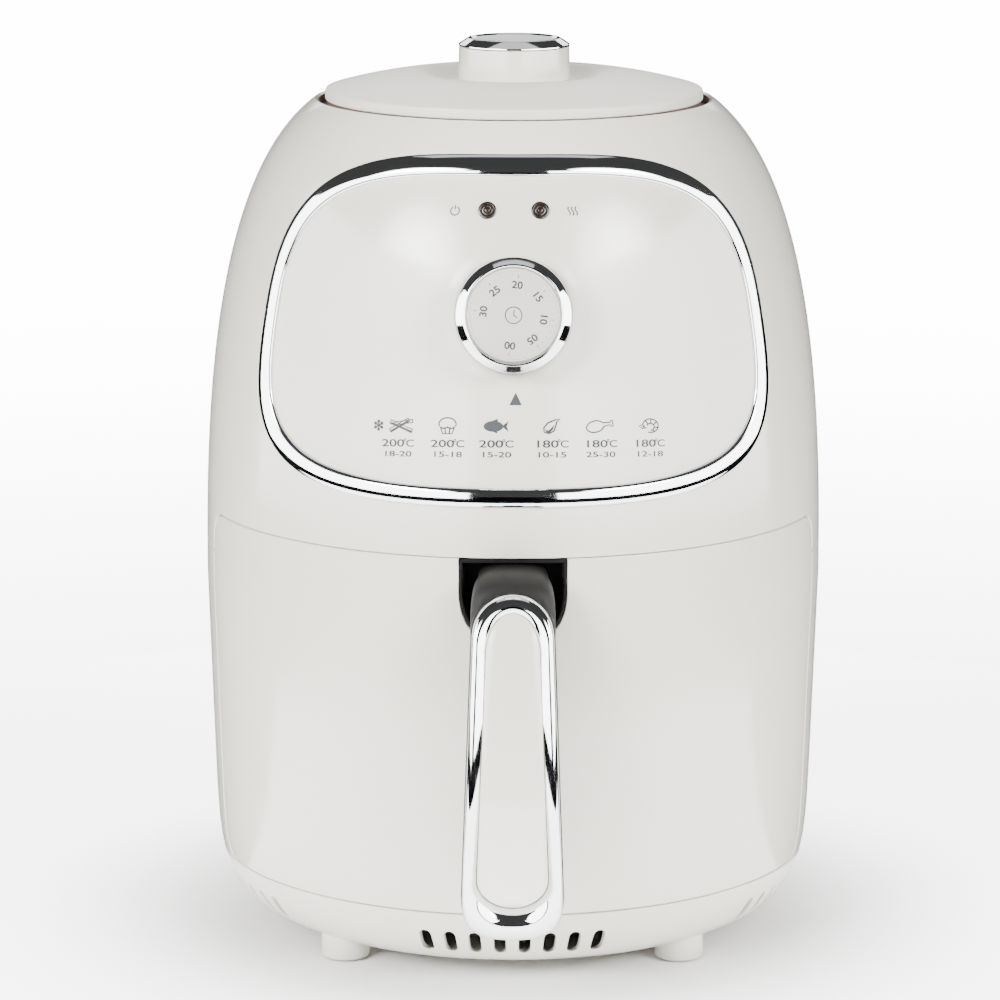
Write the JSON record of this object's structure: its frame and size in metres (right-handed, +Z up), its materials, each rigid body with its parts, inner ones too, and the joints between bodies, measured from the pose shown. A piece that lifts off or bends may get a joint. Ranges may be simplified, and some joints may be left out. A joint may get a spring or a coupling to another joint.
{
  "type": "hot-air fryer",
  "caption": "Compact barrel-shaped hot-air fryer with a pull-out drawer, chrome-trimmed timer panel and temperature knob on the lid.",
  "frame": {"origin": "centre of the bounding box's base, on the table plane under the feet", "axes": "+Z up, -Y towards the user (the drawer opens towards -Y), +X to the user's right"},
  "size_m": [0.2152, 0.2526, 0.3123],
  "materials": {
    "body_white": "glossy off-white moulded plastic",
    "lid_white": "satin off-white moulded plastic",
    "feet_white": "matt off-white moulded plastic",
    "chrome_trim": "bright chrome plating on plastic",
    "black_plastic": "matt black moulded plastic",
    "handle_grey": "matt charcoal moulded plastic",
    "indicator_lens": "dark amber-brown translucent plastic",
    "foot_rubber": "matt pale grey rubber",
    "silicone": "matt black silicone",
    "nonstick_coating": "dark non-stick coating on pressed steel",
    "steel": "plain zinc-plated steel",
    "heater_steel": "heat-darkened steel sheath",
    "aluminium_sheet": "plain pressed aluminium",
    "coil_winding": "enamelled copper winding",
    "bell_brass": "plain brass"
  },
  "bodies": {
    "housing": {"upper_housing": "body_white", "lower_housing": "body_white", "base_plate": "feet_white", "foot_front_left": "feet_white", "foot_front_right": "feet_white", "foot_rear_left": "feet_white", "foot_rear_right": "feet_white", "foot_front_left_pad": "foot_rubber", "foot_front_right_pad": "foot_rubber", "foot_rear_left_pad": "foot_rubber", "foot_rear_right_pad": "foot_rubber", "outlet_grille": "lid_white", "cord_gland": "black_plastic", "control_panel": "body_white", "panel_trim_ring": "chrome_trim", "power_lens": "indicator_lens", "working_lens": "indicator_lens", "timer_case": "steel", "timer_bell": "bell_brass", "top_cover": "lid_white", "thermostat_bracket": "steel", "thermostat": "aluminium_sheet", "chamber_liner": "aluminium_sheet", "left_rail": "steel", "right_rail": "steel", "air_reflector": "aluminium_sheet", "heat_shield": "steel", "heater_element": "heater_steel", "heater_guard": "steel", "motor_core": "steel", "motor_coil": "coil_winding", "lower_bearing_bridge": "steel", "upper_bearing_bridge": "steel", "motor_bracket": "steel", "door_switch": "black_plastic"},
    "drawer": {"drawer_front": "body_white", "drawer_inner_panel": "black_plastic", "pan": "nonstick_coating", "pan_bracket": "black_plastic", "handle_socket": "black_plastic", "handle_body": "handle_grey", "handle_frame": "chrome_trim", "handle_insert": "body_white", "handle_screw_left": "steel", "handle_screw_right": "steel"},
    "crisper": {"crisper_plate": "nonstick_coating", "bumper_front_left": "silicone", "bumper_front_right": "silicone", "bumper_rear_left": "silicone", "bumper_rear_right": "silicone"},
    "timer_dial": {"timer_knob_ring": "chrome_trim", "timer_knob_dial": "lid_white", "timer_shaft": "steel"},
    "temperature_dial": {"temperature_knob": "body_white", "temperature_knob_cap": "chrome_trim", "thermostat_shaft": "steel"},
    "fan_rotor": {"motor_rotor": "steel", "hot_air_impeller": "steel", "cooling_fan": "black_plastic", "impeller_nut": "steel"}
  },
  "joints": [
    {"name": "drawer_slide", "type": "slide", "parent": "housing", "child": "drawer", "axis": [0, -1, 0], "range_m": [0, 0.19]},
    {"name": "crisper_lift", "type": "slide", "parent": "drawer", "child": "crisper", "axis": [0, 0, 1], "range_m": [0, 0.085]},
    {"name": "timer_turn", "type": "hinge", "parent": "housing", "child": "timer_dial", "pos_m": [0, -0.08088, 0.2315], "axis": [0, 0.9848, -0.1736], "range_deg": [-7, 263]},
    {"name": "temperature_turn", "type": "hinge", "parent": "housing", "child": "temperature_dial", "pos_m": [0, 0.0187, 0.3], "axis": [0, 0, -1], "range_deg": [0, 270]},
    {"name": "fan_spin", "type": "hinge", "parent": "housing", "child": "fan_rotor", "pos_m": [0, 0.0187, 0.2], "axis": [0, 0, 1], "continuous": true}
  ]
}
